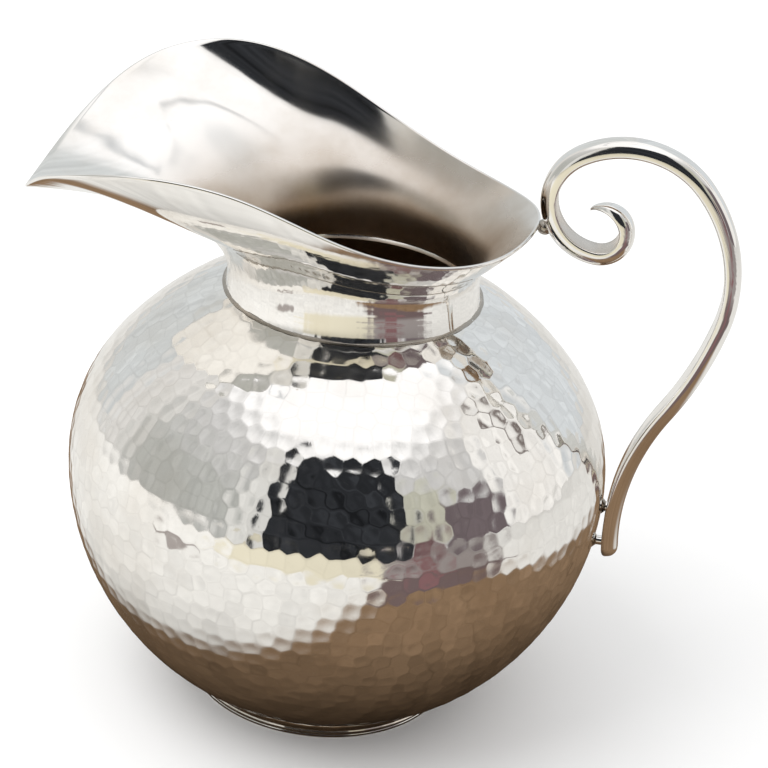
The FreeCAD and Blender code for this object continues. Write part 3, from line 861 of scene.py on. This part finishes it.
def make_camera():
    """A camera that looks at a place beside the aim, so that the pitcher sits as in the photograph."""
    back = direction(CAMERA_AZIMUTH, CAMERA_ELEVATION)
    right = (-back).cross(Vector((0, 0, 1))).normalized()
    up = back.cross(right)
    roll = math.radians(CAMERA_ROLL)
    right, up = right * math.cos(roll) + up * math.sin(roll), up * math.cos(roll) - right * math.sin(roll)
    place = AIM + back * CAMERA_DISTANCE
    looked_at = AIM + right * AIM_OFFSET[0] + up * AIM_OFFSET[1]
    back = (place - looked_at).normalized()
    right = (right - back * right.dot(back)).normalized()
    up = back.cross(right)
    data = bpy.data.cameras.new("camera")
    data.lens = CAMERA_LENS
    data.sensor_width = 36
    data.clip_start, data.clip_end = 0.01, 20
    camera = bpy.data.objects.new("camera", data)
    camera.matrix_world = Matrix((
        (right.x, up.x, back.x, place.x),
        (right.y, up.y, back.y, place.y),
        (right.z, up.z, back.z, place.z),
        (0, 0, 0, 1),
    ))
    bpy.context.scene.collection.objects.link(camera)
    bpy.context.scene.camera = camera


def area_light(name, place, target, width, height, power):
    """A soft box that lights the floor and is not mirrored in the silver."""
    data = bpy.data.lights.new(name, "AREA")
    data.shape = "RECTANGLE"
    data.size, data.size_y = width, height
    data.energy = power
    light = bpy.data.objects.new(name, data)
    light.location = place
    light.rotation_mode = "QUATERNION"
    light.rotation_quaternion = (Vector(target) - Vector(place)).to_track_quat("-Z", "Y")
    light.visible_glossy = False
    bpy.context.scene.collection.objects.link(light)


def reflected_only(name, points, faces, colours, glow):
    """A part of the stage that nothing but the silver sees. It glows or is lit, and its colours are given
    at its vertices."""
    mesh = bpy.data.meshes.new(name)
    mesh.from_pydata([tuple(p) for p in points], [], faces)
    layer = mesh.color_attributes.new("shade", "FLOAT_COLOR", "POINT")
    layer.data.foreach_set("color", np.column_stack((colours, np.ones(len(points)))).ravel())
    looks = Looks(name)
    colour = looks.shade("shade")["Color"]
    looks.fill(looks.shader, {"Roughness": 1.0, "Specular IOR Level": 0.0})
    if glow:
        looks.fill(looks.shader, {"Base Color": (0, 0, 0, 1), "Emission Color": colour,
                                  "Emission Strength": 1.0})
    else:
        looks.fill(looks.shader, {"Base Color": colour})
    mesh.materials.append(looks.material)
    thing = bpy.data.objects.new(name, mesh)
    thing.visible_camera = False
    thing.visible_diffuse = False
    thing.visible_shadow = False
    bpy.context.scene.collection.objects.link(thing)


def soft_step(value, edge, width):
    """0 below the edge and 1 above it, with a soft change of some width between."""
    t = np.clip((value - edge) / width + 0.5, 0, 1)
    return t * t * (3 - 2 * t)


def paint(colours, mask, colour):
    """The colours with another one over them where the mask is 1."""
    return colours + (np.array(colour) - colours) * mask[:, None]


DOME_RADIUS = 3.0
DOME_FOOT = -4.0              # degrees
PALE_WALL = 0.62
TOP_LIGHT = 0.95
FOLD_SHADE = 0.14             # how much the folds of the walls lighten and darken them

# Boards and walls that the silver mirrors: from and to in degrees round the pitcher and above the floor,
# the softness of their edges in degrees and their colour.
ROOM = [
    ((-180, 180), (54, 90), 16, (1.12, 1.12, 1.13)),
    ((-180, -112), (-5, 60), 16, (0.66, 0.69, 0.70)),
    ((-112, -84), (-5, 56), 12, (0.76, 0.75, 0.73)),
    ((-92, -28), (-5, 36), 30, (0.47, 0.48, 0.46)),
    ((-34, -19), (-5, 52), 6, (0.72, 0.72, 0.70)),
    ((38, 58), (8, 40), 7, (0.52, 0.52, 0.44)),
    ((40, 51), (-5, 11), 5, (0.17, 0.10, 0.105)),
    ((54, 82), (-5, 27), 6, (0.16, 0.13, 0.14)),
    ((84, 122), (-5, 52), 8, (0.90, 0.89, 0.87)),
    ((104, 108), (24, 50), 3, (0.16, 0.13, 0.12)),
    ((122, 180), (-5, 60), 14, (0.68, 0.72, 0.75)),
    ((-180, -60), (67, 69), 2, (0.62, 0.64, 0.66)),
    ((130, 180), (72, 74), 2, (0.66, 0.67, 0.68)),
]

# The dark screen behind the camera: from and to in degrees round the pitcher, and its top.
SCREEN_WEST, SCREEN_EAST, SCREEN_TOP = -20, 38, 55
SCREEN = (0.036, 0.039, 0.045)


def make_room():
    """A wide dome of pale walls with a dark screen and a few boards, as the silver mirrors it."""
    columns, rows = 360, 96
    azimuth = np.tile(np.linspace(-180, 180, columns, endpoint=False), rows)
    elevation = np.repeat(np.linspace(DOME_FOOT, 89.5, rows), columns)
    colours = np.full((columns * rows, 3), PALE_WALL)
    fold = ripple(np.radians(azimuth) * 22, 0.4) * soft_step(60 - elevation, 0, 30)
    for (west, east), (low, high), soft, colour in ROOM:
        bend = 1.2 * ripple(np.radians(azimuth + elevation * 3) * 5, west)
        inside = soft_step(azimuth + bend, west, soft) * soft_step(east - azimuth - bend, 0, soft)
        if east - west >= 360:
            inside = 1.0
        mask = inside * soft_step(elevation + bend, low, soft) * soft_step(high - elevation - bend, 0, soft)
        colours = paint(colours, mask, colour)
    colours = colours * (1 + FOLD_SHADE * fold)[:, None]
    # Painted shade: the dark screen lightens and darkens along its pleats.
    pleat_shade = 0.7 + 0.5 * ripple(np.radians(azimuth) * 9 + np.radians(elevation) * 14, 1.3)
    bend = 1.6 * ripple(np.radians(elevation) * 9, 2.0)
    screen = soft_step(azimuth + bend, SCREEN_WEST, 2) * soft_step(SCREEN_EAST - azimuth - bend, 0, 2)
    screen = screen * soft_step(SCREEN_TOP - elevation + 0.6 * bend, 0, 2)
    colours = paint(colours, screen, (0, 0, 0)) + (screen * pleat_shade)[:, None] * np.array(SCREEN)
    a, e = np.radians(azimuth), np.radians(elevation)
    points = DOME_RADIUS * np.column_stack((np.sin(a) * np.cos(e), -np.cos(a) * np.cos(e), np.sin(e)))
    points = np.vstack((points, [[0, 0, DOME_RADIUS]]))
    colours = np.vstack((colours, [[TOP_LIGHT] * 3]))
    faces = grid_faces(rows, columns)
    last = (rows - 1) * columns
    faces += [(last + k, last + (k + 1) % columns, len(points) - 1) for k in range(columns)]
    reflected_only("room_reflection", points, faces, colours, True)


# The table top, in metres. Each side edge of the board is a direction across it and its place that way.
BOARD_LEFT = ((0.66, 0.751), -0.096)
BOARD_RIGHT = ((0.953, 0.303), 0.205)
BOARD_BACK = 0.22
BOARD_FAR_LEFT = -0.105
PAPER = (0.66, 0.655, 0.635)
WOOD = (0.205, 0.135, 0.082)
CLOTH = (0.60, 0.565, 0.45)          # beyond the front edge of the paper
CLOTH_START = 0.34
BAG = (0.13, 0.095, 0.095)           # a dark bag to the right of the camera
BAG_LINING = (0.13, 0.14, 0.135)     # what is added to that colour further away
STRAP = (0.19, 0.10, 0.105)
CUP = (0.20, 0.17, 0.16)             # a small dark cup on the left, and its place and half size
CUP_PLACE = (-0.26, -0.21)
CUP_SIZE = (0.07, 0.05)
TABLE_INNER, TABLE_OUTER = 0.012, 3.0
FOOT_PAINTED_SHADOW = 0.42                    # painted shadow: brightness of the table right under the pitcher


def make_table():
    """The table top as the silver mirrors it: white paper, a wooden board and things around them."""
    columns, rows = 240, 110
    radii = TABLE_INNER * (TABLE_OUTER / TABLE_INNER) ** (np.arange(rows) / (rows - 1))
    angle = np.tile(np.linspace(0, math.tau, columns, endpoint=False), rows)
    radius = np.repeat(radii, columns)
    x, y = radius * np.cos(angle), radius * np.sin(angle)
    across = x * BOARD_LEFT[0][0] + y * BOARD_LEFT[0][1]
    along = x * BOARD_LEFT[0][1] - y * BOARD_LEFT[0][0]
    right = x * BOARD_RIGHT[0][0] + y * BOARD_RIGHT[0][1]
    # Painted shade: the paper lightens and darkens in bands along its creases.
    crease_shade = 0.10 * ripple(along * 90 + 2 * np.sin(across * 45), 0.7) + 0.06 * ripple(across * 130, 2.0)
    colours = (1 + crease_shade)[:, None] * np.array(PAPER)
    near = np.clip(0.2 * radius, 0.004, 0.05)
    board = soft_step(across, BOARD_LEFT[1], near) * soft_step(BOARD_RIGHT[1] - right, 0, near)
    board = board * soft_step(BOARD_BACK - y, 0, near) * soft_step(x + 0.5 * y, BOARD_FAR_LEFT, near)
    grain = 0.20 * ripple(across * 190, 0.3) + 0.14 * ripple(along * 110 + 2 * np.sin(across * 60), 1.1)
    colours = paint(colours, board, (0, 0, 0)) + (board * (1 + grain))[:, None] * np.array(WOOD)

    bearing = np.degrees(np.arctan2(x, -y)) + 8 * ripple(radius * 30, 0.5)

    def sector(start, end, soft, from_radius, radius_soft):
        """1 between two bearings in degrees, beyond a radius."""
        between = soft_step(bearing, start, soft) * soft_step(end - bearing, 0, soft)
        return between * soft_step(radius, from_radius, radius_soft)

    cloth = soft_step(bearing, -32, 10) * soft_step(34 - bearing, 0, 6)
    colours = paint(colours, cloth * soft_step(radius, CLOTH_START, 0.08), CLOTH)
    bag = sector(26, 72, 6, 0.19 + 0.0022 * (bearing - 26), 0.02)
    lining = soft_step(radius, 0.40, 0.10)[:, None]
    colours = paint(colours, bag, BAG) + (bag[:, None] * lining) * np.array(BAG_LINING)
    colours = paint(colours, sector(39, 47, 4, 0.27, 0.03), STRAP)
    # Painted shadow: the table darkens towards the pitcher's foot.
    colours = colours * (FOOT_PAINTED_SHADOW + (1 - FOOT_PAINTED_SHADOW) * soft_step(radius, 0.095, 0.11))[:, None]
    cup = np.hypot((x - CUP_PLACE[0]) / CUP_SIZE[0], (y - CUP_PLACE[1]) / CUP_SIZE[1])
    colours = paint(colours, soft_step(1.0 - cup, 0, 0.4) * 0.8, CUP)
    points = np.column_stack((x, y, np.full(len(x), 0.0006)))
    reflected_only("table_reflection", points, grid_faces(rows, columns), colours, False)


def make_studio():
    """A white world, a pale floor, one soft box, and what only the silver sees."""
    world = bpy.data.worlds.new("studio")
    bpy.context.scene.world = world
    world.use_nodes = True
    background = world.node_tree.nodes["Background"]
    background.inputs["Color"].default_value = (1.0, 1.0, 1.0, 1)
    background.inputs["Strength"].default_value = 1.0
    bpy.context.scene.view_settings.view_transform = "Standard"

    paper = Looks("floor_paper")
    paper.fill(paper.shader, {"Base Color": (0.94, 0.94, 0.94, 1), "Roughness": 0.8,
                              "Specular IOR Level": 0.0})
    reach = 6.0
    floor_mesh = bpy.data.meshes.new("floor")
    floor_mesh.from_pydata([(-reach, -reach, 0), (reach, -reach, 0), (reach, reach, 0), (-reach, reach, 0)],
                           [], [(0, 1, 2, 3)])
    floor_mesh.materials.append(paper.material)
    floor = bpy.data.objects.new("floor", floor_mesh)
    bpy.context.scene.collection.objects.link(floor)

    area_light("softbox_left", AIM + direction(-60, 50) * 1.3, AIM, 1.1, 1.1, 9)
    make_room()
    make_table()


# ---------------------------------------------------------------- the pitcher

# After the name: the bright silver, its tarnish, the mirror's roughness and the tarnish's strength.
hammered = silver("hammered_silver", (0.95, 0.93, 0.90), (0.60, 0.52, 0.42), 0.06, 0.35)
polished = silver("polished_silver", (0.96, 0.94, 0.91), (0.62, 0.54, 0.44), 0.05, 0.40)
solder = silver("silver_solder", (0.46, 0.42, 0.37), (0.26, 0.21, 0.16), 0.26, 0.6)

make_camera()
make_studio()
course = Course()
skin = hammered_skin(course)
bowl_half("bowl_lower_hammered", skin, course, False, hammered)
bowl_half("bowl_upper_hammered", skin, course, True, hammered)
make_neck_and_lip(polished)
make_foot(polished)
make_neck_seam(solder)
make_handle(polished)
for node, material in {"foot_solder_seam": solder, "rim_solder": solder, "upper_peg_solder": solder,
                       "lower_peg_solder": solder, "upper_peg": polished, "lower_peg": polished}.items():
    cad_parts[node].data.materials.clear()
    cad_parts[node].data.materials.append(material)
